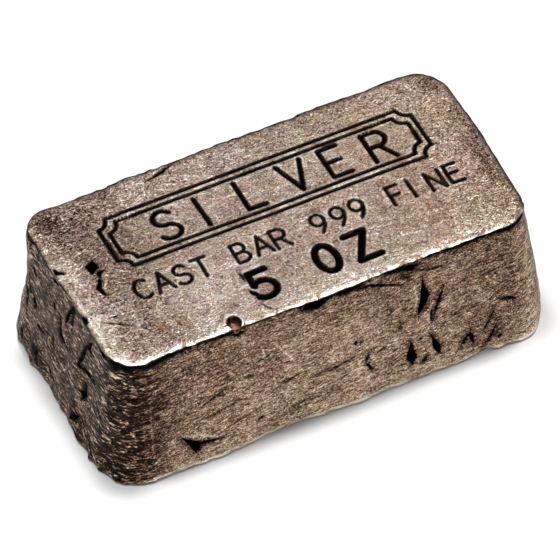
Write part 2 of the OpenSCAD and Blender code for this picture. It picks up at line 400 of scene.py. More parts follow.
def borderLines(b):
    # two rules, each with its corners cut back in a quarter round
    lines = []
    notch = b["notch"]
    for inset in (0, b["gap"]):
        x0, y0 = b["low"][0] + inset, b["low"][1] + inset
        x1, y1 = b["high"][0] - inset, b["high"][1] - inset
        ring = (arc(x0, y0, notch, notch, 90, 0, 6) + arc(x1, y0, notch, notch, 180, 90, 6)
                + arc(x1, y1, notch, notch, 270, 180, 6) + arc(x0, y1, notch, notch, 360, 270, 6))
        lines.append(ring + ring[:1])
    return lines


# scratches, folds and small cracks: points in mm along and up a face, width and depth.
# First those that hold dirt
darkCuts = {
    "front": [
        ([(2.2, 8.1), (2.2, 7.4)], 0.3, 0.2),
        ([(2.6, 7.5), (3.1, 7.7)], 0.26, 0.16),
        ([(5.7, 4.0), (5.8, 3.9)], 0.34, 0.2),
        ([(8.8, 4.8), (9.1, 5.2)], 0.26, 0.16),
        ([(-8.3, 2.7), (-7.6, 3.0)], 0.3, 0.2),
        ([(-9.4, 2.9), (-9.3, 2.8)], 0.3, 0.2),
        ([(17.3, 6.2), (18.3, 6.1), (19.3, 5.5)], 0.34, 0.2),
        ([(17.2, 1.9), (17.3, 1.4)], 0.6, 0.35),
        ([(7.3, 13.7), (7.8, 13.4), (8.3, 13.0)], 0.24, 0.14),
        ([(8.7, 14.0), (9.9, 13.3), (12.2, 13.0)], 0.2, 0.12),
        ([(-6.8, 5.6), (-3.1, 6.8)], 0.2, 0.08),
        ([(-14.4, 6.9), (-10.6, 8.5)], 0.2, 0.07),
        ([(-11.4, 3.3), (-7.5, 4.3)], 0.18, 0.07),
        ([(-1.3, 5.4), (2.6, 6.2)], 0.16, 0.05),
        ([(-2.9, 14.7), (-1.8, 14.6), (-0.5, 14.8)], 0.62, 0.3),
        ([(-0.1, 14.9), (0.8, 14.6), (2.1, 14.8)], 0.26, 0.16),
        ([(1.1, 14.3), (2.4, 14.5), (4.1, 14.2), (7.8, 12.4)], 0.3, 0.14),
        ([(-3.2, 5.4), (-1.9, 5.7), (1.9, 5.8)], 0.16, 0.06),
        ([(5.9, 7.0), (6.8, 7.2), (7.1, 7.8), (6.8, 8.4)], 0.2, 0.08),
        ([(4.5, 5.5), (5.4, 5.8)], 0.3, 0.2),
        ([(5.9, 10.7), (6.1, 9.8), (5.7, 9.4)], 0.2, 0.07),
        ([(15.5, 2.9), (16.5, 4.5), (16.9, 5.5)], 0.26, 0.14),
        ([(-13.4, 5.5), (-9.8, 6.2)], 0.16, 0.05),
        ([(-9.0, 9.6), (-5.5, 10.7)], 0.16, 0.05),
        ([(-5.1, 2.5), (-1.2, 3.3)], 0.18, 0.06),
        ([(12.2, 6.4), (14.7, 7.1)], 0.16, 0.06),
        ([(14.6, 9.8), (17.7, 10.3)], 0.16, 0.05),
        ([(10.3, 8.3), (10.1, 6.7)], 0.24, 0.1),
    ],
    "left": [
        ([(4.6, 13.3), (3.7, 11.2), (3.1, 8.8), (4.8, 9.0), (6.8, 9.4)], 0.42, 0.28),
        ([(1.1, 14.5), (0.4, 12.7), (0.2, 11.3)], 0.42, 0.25),
        ([(-2.9, 2.6), (-2.3, 1.8), (-1.2, 2.1)], 0.46, 0.3),
        ([(3.6, 5.8), (4.5, 6.0), (4.2, 4.9)], 0.5, 0.28),
        ([(-5.6, 5.8), (-4.7, 6.0), (-3.7, 6.1)], 0.42, 0.25),
        ([(-2.4, 12.0), (-2.0, 11.2)], 0.5, 0.28),
        ([(5.2, 13.9), (4.7, 12.5), (5.4, 12.5)], 0.42, 0.25),
        ([(-1.0, 9.2), (0.3, 8.7), (1.2, 8.6)], 0.34, 0.2),
        ([(2.5, 0.2), (3.9, 0.5), (5.1, 0.6)], 0.4, 0.25),
        ([(6.5, 2.0), (8.0, 0.8)], 0.34, 0.25),
        ([(-6.9, 8.9), (-6.2, 7.6), (-6.5, 6.9)], 0.34, 0.2),
        ([(-7.2, 12.2), (-6.1, 11.2)], 0.36, 0.22),
        ([(-2.9, 14.6), (-1.8, 14.6)], 0.5, 0.3),
        ([(6.8, 14.6), (8.3, 14.7)], 0.5, 0.3),
    ],
    "top": [
        ([(-9.4, 9.4), (-8.4, 9.6), (-7.3, 9.9), (-6.0, 10.4)], 0.3, 0.2),
        ([(-17.4, 1.3), (-18.2, 1.0), (-18.2, 0.4)], 0.4, 0.24),
        ([(-18.2, 0.6), (-18.6, -0.1), (-18.9, -0.6), (-18.8, -1.3), (-18.6, -1.9)], 0.5, 0.28),
        ([(-21.6, 3.5), (-21.5, 2.8), (-20.9, 2.3)], 0.42, 0.25),
        ([(-21.7, -2.9), (-21.6, -3.6), (-21.7, -4.1)], 0.4, 0.25),
        ([(-20.1, -3.5), (-19.6, -3.6)], 0.22, 0.08),
        ([(-19.3, -4.4), (-18.8, -4.4)], 0.24, 0.08),
        ([(-16.8, -5.8), (-16.7, -6.0)], 0.26, 0.14),
        ([(-17.2, -6.8), (-17.0, -7.0)], 0.3, 0.14),
        ([(-15.8, -4.8), (-15.6, -5.0)], 0.28, 0.14),
        ([(-17.9, -7.4), (-17.8, -7.5)], 0.22, 0.12),
        ([(-16.2, -8.9), (-16.1, -9.0)], 0.24, 0.12),
        ([(-18.2, -2.7), (-18.0, -2.8)], 0.24, 0.12),
        ([(-6.7, -7.0), (-6.4, -7.6), (-6.1, -8.0), (-5.8, -8.3)], 0.48, 0.3),
        ([(-6.3, -9.1), (-6.0, -9.7), (-5.6, -10.1)], 0.18, 0.08),
        ([(-20.6, -4.4), (-18.9, -5.5), (-18.1, -6.0)], 0.2, 0.1),
        ([(-6.5, -4.7), (-6.5, -6.0)], 0.26, 0.12),
    ],
    "back": [
        ([(-13.2, 5.1), (-12.4, 3.9), (-12.9, 2.8)], 0.5, 0.3),
        ([(-6.1, 11.8), (-4.7, 11.2), (-3.9, 11.4)], 0.36, 0.22),
        ([(-1.2, 2.4), (0.3, 1.9)], 0.6, 0.35),
        ([(4.4, 7.9), (5.1, 6.1), (4.8, 5.2)], 0.42, 0.25),
        ([(9.6, 3.1), (10.9, 2.2), (11.6, 2.3)], 0.55, 0.35),
        ([(15.8, 10.4), (16.6, 8.7)], 0.36, 0.22),
        ([(-17.5, 8.2), (-14.1, 8.9), (-10.2, 9.0)], 0.2, 0.07),
        ([(2.8, 12.4), (8.1, 12.9), (12.5, 12.6)], 0.2, 0.07),
    ],
    "right": [
        ([(-6.4, 10.9), (-5.6, 9.1), (-6.0, 8.0)], 0.44, 0.26),
        ([(-1.9, 4.6), (-0.6, 3.7), (0.5, 3.9)], 0.5, 0.3),
        ([(3.8, 8.4), (4.9, 7.4)], 0.4, 0.24),
        ([(6.2, 2.6), (7.1, 1.5)], 0.6, 0.35),
        ([(1.4, 12.6), (3.2, 12.1), (4.1, 12.3)], 0.32, 0.18),
    ],
}
# those drawn bright: rubbed scratches and ridges, and a painted highlight down the near corner's edge. A
# depth below 0 is a ridge
brightCuts = {
    "front": [
        ([(-6.3, 12.0), (-4.1, 8.4)], 0.2, 0.05),
        ([(-7.4, 12.1), (-7.0, 10.0)], 0.16, 0.04),
        ([(-3.3, 3.5), (0.6, 4.2), (3.6, 4.4)], 0.16, 0.06),
        # painted highlight down the near corner's edge
        ([(-20.2, 14.0), (-20.4, 12.6), (-20.5, 11.0), (-20.7, 9.4)], 0.22, -0.05),
        ([(-0.9, 3.3), (1.1, 3.4), (3.6, 3.4)], 0.18, 0.06),
        ([(-16.5, 4.7), (-15.1, 4.0), (-14.1, 3.7), (-13.3, 3.1), (-11.7, 2.5)], 0.34, -0.1),
        ([(8.6, 12.1), (8.8, 10.0), (8.3, 7.9)], 0.2, -0.04),
        ([(10.6, 9.4), (9.9, 7.7), (9.9, 6.5)], 0.18, -0.04),
        ([(0.8, 2.6), (4.8, 3.1)], 0.16, 0.05),
        ([(-18.9, 10.6), (-19.0, 7.6), (-19.1, 2.4)], 0.2, -0.04),
        ([(-20.3, 9.2), (-20.6, 7.1), (-20.6, 4.9), (-20.5, 3.1)], 0.24, -0.04),
        ([(-19.7, 8.9), (-19.8, 5.1)], 0.18, -0.03),
    ],
    "left": [
        ([(7.6, 14.2), (9.0, 13.5), (8.7, 11.1), (8.5, 9.4), (7.9, 7.0), (6.3, 2.3)], 0.4, -0.1),
        ([(8.3, 11.3), (8.8, 9.9), (9.3, 8.4)], 0.4, -0.05),
    ],
    "top": [
        ([(-8.6, 9.8), (-7.6, 10.2), (-6.6, 10.5)], 0.3, -0.14),
        ([(-17.6, 0.7), (-17.9, -0.1), (-18.4, -0.8)], 0.28, -0.08),
        ([(-16.6, 6.2), (-16.1, 5.7)], 0.28, -0.06),
        ([(-6.5, -6.9), (-6.2, -7.3), (-5.9, -7.7)], 0.18, -0.04),
        ([(-7.2, -6.4), (-6.7, -6.4), (-6.4, -6.5)], 0.3, -0.06),
        ([(-6.1, -9.0), (-5.8, -9.6), (-5.4, -9.9)], 0.16, -0.04),
        ([(-19.3, 4.0), (-18.2, 4.1), (-17.3, 3.7)], 0.2, 0.08),
        ([(-16.4, 0.5), (-15.4, -0.2)], 0.2, 0.06),
    ],
    "back": [
        ([(-8.2, 5.6), (-3.4, 6.4), (1.6, 6.5)], 0.18, 0.06),
    ],
    "right": [
        ([(-7.8, 5.6), (-3.2, 6.3), (2.4, 6.5)], 0.18, 0.06),
    ],
}


def lineFeature(kind, face, lines, width, depth, dark=True):
    return {"kind": kind, "face": face, "lines": lines, "width": width, "depth": depth, "dark": dark}


def allFeatures():
    # every cut in the bar's skin, each with its face and its outline or lines
    made = voidFeatures()
    for seed, mark in enumerate(marks.values()):
        made.append(lineFeature("stamp", "top", wordLines(mark, seed), mark["width"], mark["depth"]))
    made.append(lineFeature("stamp", "top", borderLines(border), border["width"], border["depth"]))
    for cuts, dark in ((darkCuts, True), (brightCuts, False)):
        for face, rows in cuts.items():
            made += [lineFeature("cut", face, [line], width, depth, dark) for line, width, depth in rows]
    return made


features = allFeatures()
craterAt = np.array([crater["along"] * halfLength(0), crater["inset"] - halfWidth(barHeight), barHeight])
faceReach = 1.2   # mm out from a flat face, and round a cut, within which the skin belongs to it


def onFace(feature, places):
    origin, axes = faceFrame(feature["face"])
    return (places - origin) @ axes.T


def measured(feature, places):
    # the points near a cut, the gap from each to its edge (below 0 inside), the nearest spot on it, and how
    # far along its line that is
    local = onFace(feature, places)
    level = np.flatnonzero(np.abs(local[:, 2]) < faceReach)
    flat = local[level, :2]
    if feature["kind"] == "void":
        outline = feature["outline"]
        close, gap, spot, share = nearestOn(flat, outline + outline[:1], faceReach)
        gap = np.where(insideOutline(flat[close], outline), -gap, gap)
        return level[close], gap, spot, share
    best = np.full(len(flat), np.inf)
    spots = flat.copy()
    shares = np.zeros(len(flat))
    for line in feature["lines"]:
        close, gap, spot, share = nearestOn(flat, line, faceReach)
        nearer = gap < best[close]
        picked = close[nearer]
        best[picked], spots[picked], shares[picked] = gap[nearer], spot[nearer], share[nearer]
    close = np.flatnonzero(best < faceReach)
    return level[close], best[close] - feature["width"] / 2, spots[close], shares[close]


def pastBreak(places, row):
    # mm along the profile from the break of the top edge: below 0 down the wall, above 0 in over the roll
    foot, wall, roll = casting["rows"]
    q = (row - foot - wall) / roll
    return np.where(q > 0, q * casting["rollIn"], places[:, 2] - breakHeight)


# short wandering cracks: crowded on the left end, sparse elsewhere. Sizes in mm
cracks = {
    "across": (1.7, 1.7, 3.4),                     # spread of the pattern whose folds they are
    "patch": 2.3, "patchDrift": 7, "fade": 0.22,   # they come in patches
    "least": 0.62, "leastLeft": 0.2,               # the lower this is, the more there are
    "half": 0.1, "halfLeft": 0.17,
    "depth": 0.22, "burr": 0.25,
    "bareCorner": (-21.5, -9.5), "bareReach": 4,   # none on the near corner
}


def crackAt(places, facing):
    # 1 along the middle of a crack, 0 away from one. It counts on the walls only
    c = cracks
    z = places[:, 2]
    left = smooth(-np.cos(facing) * 4 - 2.6)
    least = c["least"] + (c["leastLeft"] - c["least"]) * left
    patches = clouds(places, c["patch"], 51) + 0.3 * clouds(places, c["patchDrift"], 52)
    there = smooth((patches - least) / c["fade"]) * smooth(z / 1.2) * smooth((breakHeight - 0.15 - z) / 0.5)
    there *= smooth((awayFrom(places, c["bareCorner"]) - c["bareReach"]) / 1.5)
    half = (c["half"] + (c["halfLeft"] - c["half"]) * left) * (1 + 0.5 * clouds(places, 0.5, 53))
    return hump(clouds(places, c["across"], 50), 0, half) * there


# where the grid is halved again, in mm. The walls that lie in front are cut finest
finer = {
    "frontPast": (-9, -20),             # a point with y or x below these is on them
    "shownPast": (-8.5, -18.5),         # the same for the first halving
    "nearTop": 1.2, "nearFoot": 0.8,
    "crack": 0.12,                      # least share of a crack
    "cut": 0.17,                        # round every cut
    "deepCut": (0.16, 0.07), "deep": 0.22,   # inside and outside the edge of one at least so deep
    "lip": (-0.44, 0.3), "backLip": (-0.18, 0.12), "lipLine": 0.16,   # along the profile from its break
    "foot": 0.35,                       # below this height
}


def blockOfCells():
    # a block cut into a grid, still 2 x 2 x 2
    bm = bmesh.new()
    bmesh.ops.create_cube(bm, size=2)
    for axis, cells in enumerate((*casting["columns"], sum(casting["rows"]))):
        edges = [e for e in bm.edges if abs(e.verts[0].co[axis] - e.verts[1].co[axis]) > 1]
        bmesh.ops.subdivide_edges(bm, edges=edges, cuts=cells - 1, use_grid_fill=True)
    return bm


def cutFiner(bm, wanted):
    # halves the cells that wanted(cube, places, facing, row) picks, though none on the foot
    bm.faces.ensure_lookup_table()
    cube = np.array([f.calc_center_median() for f in bm.faces])
    picked = np.flatnonzero(wanted(cube, *castingForm(cube)) & (cube[:, 2] > -flatAt))
    edges = {e for i in picked for e in bm.faces[i].edges}
    bmesh.ops.subdivide_edges(bm, edges=list(edges), cuts=1, use_grid_fill=True, use_single_edge=True)
    print("cells", len(bm.faces), "after halving", len(picked))


def allCells(cube, places, facing, row):
    return np.ones(len(cube), bool)


def inFront(places, past):
    return (places[:, 1] < past[0]) | (places[:, 0] < past[1])


def nearCrack(cube, places, facing):
    return (crackAt(places, facing) > finer["crack"]) & (np.abs(cube[:, 2]) < flatAt)


def shownCells(cube, places, facing, row):
    # the back and right walls stay coarser in their middles
    shown = (cube[:, 2] > flatAt) | inFront(places, finer["shownPast"]) | nearCrack(cube, places, facing)
    return shown | (places[:, 2] > barHeight - finer["nearTop"]) | (places[:, 2] < finer["nearFoot"])


def nearCut(places, outside, inside, deepOnly):
    near = awayFrom(places, craterAt) < crater["rimOut"] + outside
    for feature in features:
        deep = feature["kind"] == "void" or feature["kind"] == "cut" and feature["depth"] > finer["deep"]
        if deep or not deepOnly:
            close, gap, _, _ = measured(feature, places)
            near[close[(gap < outside) & (gap > -inside)]] = True
    return near


def fineCells(cube, places, facing, row):
    # all cuts, the lip and the foot, and the cracks of the left end
    past = pastBreak(places, row)
    front = inFront(places, finer["frontPast"])
    low, high = (np.where(front, finer["lip"][i], finer["backLip"][i]) for i in (0, 1))
    lip = (past > low) & (past < high) & (cube[:, 2] < flatAt)
    foot = (places[:, 2] < finer["foot"]) & front
    leftCracks = nearCrack(cube, places, facing) & (places[:, 0] < -18)
    return nearCut(places, finer["cut"], 9, False) | lip | foot | leftCracks


def finestCells(cube, places, facing, row):
    # the sides of the deep cuts, and the line of the lip
    lip = np.abs(pastBreak(places, row)) < finer["lipLine"]
    lip &= inFront(places, finer["frontPast"]) & (cube[:, 2] < flatAt)
    inside, outside = finer["deepCut"]
    return nearCut(places, outside, inside, True) | lip


def skinCells():
    bm = blockOfCells()
    for wanted in (allCells, shownCells, fineCells, finestCells):
        cutFiner(bm, wanted)
    return bm


bm = skinCells()
cube = np.array([v.co for v in bm.verts])
form, facing, row = castingForm(cube)
onTop = cube[:, 2] > flatAt
onWall = np.abs(cube[:, 2]) < flatAt
mesh = bpy.data.meshes.new("poured_bar")
bm.to_mesh(mesh)
bm.free()


def setPlaces(places):
    mesh.vertices.foreach_set("co", (places * mm).astype(np.float32).ravel())
    mesh.update()


def normalsNow():
    values = np.empty(len(mesh.vertices) * 3, np.float32)
    mesh.vertices.foreach_get("normal", values)
    return values.reshape(-1, 3).astype(float)


setPlaces(form)
normals = normalsNow()
print("casting formed")

relief = {
    # height and spread in mm of each size of unevenness
    "dents": (0.08, 8), "lumps": (0.05, 3.4), "pimples": (0.035, 1.3), "grit": (0.028, 0.6),
    "onTop": 0.5,                                   # share of all that on the stamped face
    "wallDrag": 0.03,                               # fine drag lines round the walls
    "endLumps": 0.3, "endLumpsTop": 12,             # lumps on the left end, below a height
    "patch": 0.14, "patchAt": (-20.7, 8.6), "patchReach": 2.8,   # rough metal at the far left corner
    "patchFrom": 11.5,                              # the height above which it lies
    "ridges": 0.065, "ridgesAt": (-21.5, -10.3), "ridgesReach": 3.4,   # wavy ridges on the near corner
    "lipOut": 0.14, "lipWide": 0.13,                # the front edge stands proud in a ragged lip,
    "grooveIn": 0.16, "grooveWide": 0.16, "grooveAt": -0.3,   # with a groove worn under it
    "elseLip": 0.3,                                 # share of both on the other sides
    "rimWander": 0.09, "backFolds": 0.1,            # the top outline wanders in and out
    "footWander": 0.13, "leftTeeth": 0.22,          # so does the foot's, with teeth on the left
    "notch": (15.7, 0.75, 0.36),                    # place, half width and depth of a notch in the front foot
    "bump": (17.3, 0.5, 0.16), "bumpGrit": 0.07,    # and of a bump beside it
    "build": 0.4, "buildAt": (-21.4, 9.9), "buildReach": 1.9,    # metal built up on the far left corner
}


def ridged(places, across, seed):
    # clouds folded into sharp ridges
    return 1 - 2 * np.abs(clouds(places, across, seed))


def unevenness(r):
    # mm out from the smooth casting, with the rough patch, the near corner and the cracks as shares
    z = form[:, 2]
    out = np.zeros(len(form))
    for seed, key in enumerate(("dents", "lumps", "pimples", "grit")):
        height, across = r[key]
        out += height * clouds(form, across, 10 + seed)
    out *= np.where(onTop, r["onTop"], 1)
    out += np.where(onTop, 0, r["wallDrag"] * clouds(form, (2.6, 2.6, 0.45), 15))
    leftEnd = towards(facing, "left") * smooth((r["endLumpsTop"] - z) / 6) * smooth((z + 0.5) / 1.5)
    out += r["endLumps"] * leftEnd * clouds(form, (4, 2.5, 2.3), 18)
    patch = hump(awayFrom(form, r["patchAt"]), 0, r["patchReach"]) * smooth((z - r["patchFrom"]) / 2.5)
    out += r["patch"] * patch * (0.8 * ridged(form, (0.9, 0.9, 0.7), 16) + 0.6)
    corner = hump(awayFrom(form, r["ridgesAt"]), 0, r["ridgesReach"]) * ~onTop
    waves = clouds(form, (0.9, 0.9, 0.42), 17) + 0.6 * clouds(form, (0.5, 0.5, 0.4), 19)
    out += r["ridges"] * corner * waves
    crack = crackAt(form, facing)
    out += cracks["depth"] * (cracks["burr"] * crack ** 0.2 - crack) * onWall
    return out, patch, corner, crack


def edgeMoves(r, past):
    # mm that the walls' edges move level and outwards: a lip and groove at the top, wandering outlines
    x, _, z = form.T
    back, left, front = (towards(facing, side) for side in ("back", "left", "front"))
    strength = np.where(np.sin(facing) < -0.4, 1, r["elseLip"])
    ragged = 0.6 + 0.55 * clouds(form, (1.5, 1.5, 9), 20) + 0.55 * clouds(form, (0.45, 0.45, 9), 21)
    ragged = np.clip(ragged, 0, 1.6)
    lip = r["lipOut"] * hump(past, 0, r["lipWide"]) * ragged
    lip -= r["grooveIn"] * hump(past, r["grooveAt"], r["grooveWide"]) * np.clip(1.3 - ragged, 0, 1.4)
    atTop = np.exp(-np.maximum(-past, 0) / 1.1)
    rim = r["rimWander"] * (clouds(form, (3.3, 3.3, 9), 22) + 0.5 * clouds(form, (1.2, 1.2, 9), 23))
    rim += r["backFolds"] * back * ridged(form, (1.1, 1.1, 9), 27)
    foot = r["footWander"] * (clouds(form, (2.2, 2.2, 9), 24) + 0.6 * clouds(form, (0.8, 0.8, 9), 25))
    wander = atTop * rim + np.exp(-z / 0.8) * foot
    wander += r["leftTeeth"] * left * np.exp(-z / 2.5) * ridged(form, (1.6, 1.6, 2.5), 26)
    lowFront = front * np.exp(-z / 0.9)
    at, half, depth = r["notch"]
    wander -= depth * lowFront * hump(x, at, half)
    at, half, height = r["bump"]
    wander += lowFront * (height * hump(x, at, half) + r["bumpGrit"] * clouds(form, (0.45, 0.45, 9), 28))
    built = hump(awayFrom(form, r["buildAt"]), 0, r["buildReach"]) * smooth((z - 9) / 5)
    move = lip * strength + wander + r["build"] * built
    outward = np.stack([np.cos(facing), np.sin(facing), np.zeros(len(form))], 1)
    return outward * np.where(onWall, move, 0)[:, None]


push, patch, nearCorner, crack = unevenness(relief)
edgeSpan = pastBreak(form, row)
places = form + normals * push[:, None] + edgeMoves(relief, edgeSpan)
print("relief laid on")

layerNames = ("recessAndShade", "grimeAndShading", "wornAndSheen", "copper", "coarse", "warm", "upFace")
layers = {name: np.zeros(len(places)) for name in layerNames}


def lay(name, values, at=slice(None)):
    # a layer keeps the stronger of what it has and what is laid on it
    layers[name][at] = np.maximum(layers[name][at], values)


def tornVoid(feature, here, gap):
    # how far the skin rises over a void and its lips, how black it is, and the dirt round it
    gap = gap + 0.06 * clouds(here, 0.4, 31) + 0.04 * clouds(here, 1.1, 32)
    inside = smooth(-gap / min(0.2, 0.26 * feature["width"]))
    depth = feature["depth"] * inside * (1 + 0.2 * clouds(here, 0.6, 33))
    burr = 0.035 * hump(gap, 0.1, 0.1)
    blackOut = 0.05 if 0.9 < feature["width"] < 1.5 else 0
    return burr - depth, smooth(0.5 - (gap - blackOut) / 0.12), hump(np.maximum(gap, 0), 0, 0.3)


def struckMark(feature, here, gap, away):
    # the same for a stamped mark: steep sides, a flat floor, a thin burr with a painted highlight just
    # outside it, deeper towards both ends of the face. Points near its edge slide on to it first
    half = feature["width"] / 2
    press = 0.72 + 0.4 * (here[:, 0] / 17) ** 2 + 0.22 * clouds(here, (2.6, 2.6, 9), 34)
    press = np.clip(press, 0.4, 1.25)
    edge = half * (0.8 + 0.25 * press)
    distance = gap + half
    slide = np.where(np.abs(distance - edge) < 0.06, edge - distance, 0)
    gap = distance + slide - edge
    depth = feature["depth"] * press * smooth(-gap / (half * 0.62) + 0.06)
    burr = 0.03 * hump(gap, 0.08, 0.08)
    ink = np.clip(0.93 + 0.5 * feature["depth"] + 0.12 * clouds(here, 0.7, 37), 0, 1)
    black = smooth(0.8 - gap / 0.1) * smooth(press * 2.2) * ink
    # painted highlight just outside the stroke
    lit = hump(gap, 0.15, 0.09) * 0.45 * smooth(clouds(here, 0.9, 38) + 0.4)
    shift = away / np.maximum(distance, 1e-6)[:, None] * slide[:, None]
    return burr - depth, black, 0.3 * hump(np.maximum(gap, 0), 0, 0.1), lit, shift


def taperedCut(feature, here, gap, share):
    # the same for a scratch or crack, which tapers to both ends
    half = feature["width"] / 2
    taper = np.sqrt(np.clip(4 * share * (1 - share), 0.02, 1))
    gap = gap + half - half * taper * (1 + 0.4 * clouds(here, 0.45, 35))
    depth = feature["depth"] * taper * smooth(-gap / (half * 0.8) + 0.1)
    burr = 0.02 * hump(gap, 0.1, 0.1)
    black = smooth(0.5 - gap / 0.12) * np.minimum(taper * 1.5, 1)
    return burr - depth, black, 0.4 * hump(np.maximum(gap, 0), 0, 0.2)


def carve(feature):
    _, axes = faceFrame(feature["face"])
    close, gap, spot, share = measured(feature, form)
    keep = normals[close] @ axes[2] > 0.35   # points that face the same way as the cut
    if not keep.any():
        return
    close, gap, spot, share = close[keep], gap[keep], spot[keep], share[keep]
    here = form[close]
    if feature["kind"] == "void":
        rise, black, dirt = tornVoid(feature, here, gap)
    elif feature["kind"] == "stamp":
        away = onFace(feature, here)[:, :2] - spot
        rise, black, dirt, lit, shift = struckMark(feature, here, gap, away)
        places[close] += shift @ axes[:2]
        lay("wornAndSheen", lit, close)
    else:
        rise, black, dirt = taperedCut(feature, here, gap, share)
    places[close] += np.outer(rise, axes[2])
    if feature["dark"]:
        lay("recessAndShade", black, close)
        lay("grimeAndShading", 0.5 * dirt, close)
    else:
        lay("wornAndSheen", 0.55 * black, close)


def carveCrater(c):
    # a burst bubble with a bright raised rim and a reddish floor, painted shade in its hollow, blackest on
    # the far side, and a painted glint
    away = awayFrom(form, craterAt)
    across, back = (form - craterAt)[:, 0], (form - craterAt)[:, 1]
    mouth = math.sqrt(c["radius"] ** 2 - c["sink"] ** 2)
    near = (away < 1.6) & (normals[:, 2] > 0.3)
    hollow = c["sink"] + np.sqrt(np.clip(c["radius"] ** 2 - away ** 2, 0, None))
    depth = hollow * smooth((mouth + 0.04 - away + 0.04 * clouds(form, 0.5, 36)) / 0.13)
    rim = c["rimHeight"] * hump(away, c["rimOut"], c["rimWide"])
    places[near, 2] += (rim - depth)[near]
    inside = smooth((mouth + 0.05 - away) / 0.12) * near
    # painted shade: black over the far side of the hollow and darker all through it, but for the painted
    # glint
    farSide = smooth(((form - craterAt) @ np.array(c["darkFrom"])) / 0.25 + 0.5) * smooth((away - 0.54) / 0.1)
    glint = hump(np.hypot(across - c["glintAt"][0], back - c["glintAt"][1]), 0, c["glintWide"]) * near
    black = np.maximum(smooth((mouth + 0.09 - away) / 0.07) * farSide, 0.3 * inside) * near
    lay("recessAndShade", black * (1 - glint))
    # the side of the rim towards the bar's edge shows copper, in broken spots on its left
    lip = smooth((0.3 - back) / 0.8) * near * (away < 1.25) * smooth(0.7 + 1.6 * clouds(form, 0.45, 39))
    lip *= smooth(0.8 - across / 0.7)
    lay("copper", np.maximum(inside * (1 - 0.5 * glint), 0.9 * lip))
    layers["grimeAndShading"] += 0.35 * inside * (1 - glint)
    # the raised rim rubbed bright, and the painted glint
    lay("wornAndSheen", np.maximum(0.9 * near * hump(away, c["rimOut"], 0.16), glint))


for feature in features:
    carve(feature)
carveCrater(crater)
print("voids and marks cut")

# what the stains follow: soft random values, the side that a point is on, and its place by the top edge
soft, fine = clouds(form, 2.2, 40), clouds(form, 0.6, 41)
rag, nick = clouds(form, (0.9, 0.9, 9), 45), clouds(form, (0.4, 0.4, 9), 46)
front, back, left, right = (towards(facing, side) for side in ("front", "back", "left", "right"))
belowEdge = smooth(-edgeSpan / 0.3) * onWall
fromLeft = form[:, 0] + halfLength(barHeight) - casting["rollIn"]
leftStrip = hump(fromLeft, 0.6, 1.1) * smooth((5 - form[:, 1]) / 2)
leftStrip *= onTop + left * onWall * (edgeSpan > 0)
burst = hump(form[:, 0], craterAt[0], 0.8) * front * onWall   # the crater breaks through the edge

stains = {
    # place, reach each way in mm, and strength: dirt below 0 is paler
    "grimeAndShading": (
        ((-21, 9.4, barHeight), (2.2, 2.6, 2), 0.5),
        ((-13.5, -7.5, barHeight), (6, 3.5, 2), -0.24),
        ((-14, -11, 11.5), (5, 3, 3.2), 0.24),
        ((-19, -11, 7), (4, 3, 7), 0.12),
        ((4, -11, 13), (6, 3, 1.6), 0.25),
    ),
    "copper": (
        ((-9.7, -10.9, 14.6), (0.9, 0.8, 0.6), 0.9),
        ((-15.6, -12, 3.0), (1.0, 3, 0.8), 0.6),
        ((-18.1, -1.7, barHeight), (0.8, 1, 2), 0.5),
    ),
    # a streak of spots on the stamped face
    "rust": ((-15.3, -4.2), (-15.9, -4.9), (-16.4, -5.6), (-16.2, -6.6), (-15.85, -7.4), (-15.6, -8.2)),
}
rubbingAndSheen = {   # how bright the worn places are, with painted highlight along the front and left edges and on the front foot
    "frontEdge": 0.74, "leftEdge": 0.04, "otherEdges": 0.08,
    "frontGlow": 0.34, "leftRoll": 0.3,
    "faceFront": 0.4, "faceLeft": 0.4, "leftStrip": 0.3,
    "frontFoot": 1.2, "otherFoot": 0.1,
}


def blot(spot, sizes):
    # a soft spot of 1 fading to 0 over so many mm each way
    d = (form - np.array(spot)) / np.array(sizes)
    return np.exp(-(d ** 2).sum(1))


def blots(name):
    return sum(strength * blot(spot, sizes) for spot, sizes, strength in stains[name])


def rubAndLightEdges(r):
    # bright along the front and left of the stamped face, and in a thin line at the foot: rubbed metal and
    # painted highlight
    inward = np.maximum(edgeSpan, 0)
    edge = hump(inward, 0, np.clip(0.2 + 0.17 * rag + 0.13 * nick, 0.04, 0.6)) * (edgeSpan > -0.06)
    edge *= r["frontEdge"] * front + r["leftEdge"] * left + r["otherEdges"]
    edge += r["frontGlow"] * np.exp(-inward / 0.8) * front * (edgeSpan > 0) * (0.8 + 0.7 * rag)
    edge *= 0.85 + 0.25 * soft + 0.25 * nick
    edge += r["leftRoll"] * left * smooth((edgeSpan + 0.1) / 0.3) * smooth(0.9 + soft)
    edge *= (1 - 0.8 * burst) * onWall
    face = r["faceFront"] * np.exp(-(form[:, 1] + halfWidth(barHeight) - casting["rollIn"]) / 0.7)
    face += r["faceLeft"] * np.exp(-fromLeft / 2) * smooth(0.8 + soft)
    face *= onTop * (0.9 + 0.3 * soft)
    # the line at the foot is painted highlight along its round
    foot = hump(form[:, 2], 0.36, 0.17) * onWall * (r["frontFoot"] * front + r["otherFoot"])
    foot *= 0.7 + 0.8 * clouds(form, (1.3, 1.3, 9), 43)
    for wornAndSheen in (edge, face, foot, r["leftStrip"] * leftStrip * smooth(0.7 + rag)):
        lay("wornAndSheen", wornAndSheen)
    layers["wornAndSheen"] = np.clip(layers["wornAndSheen"], 0, 1)


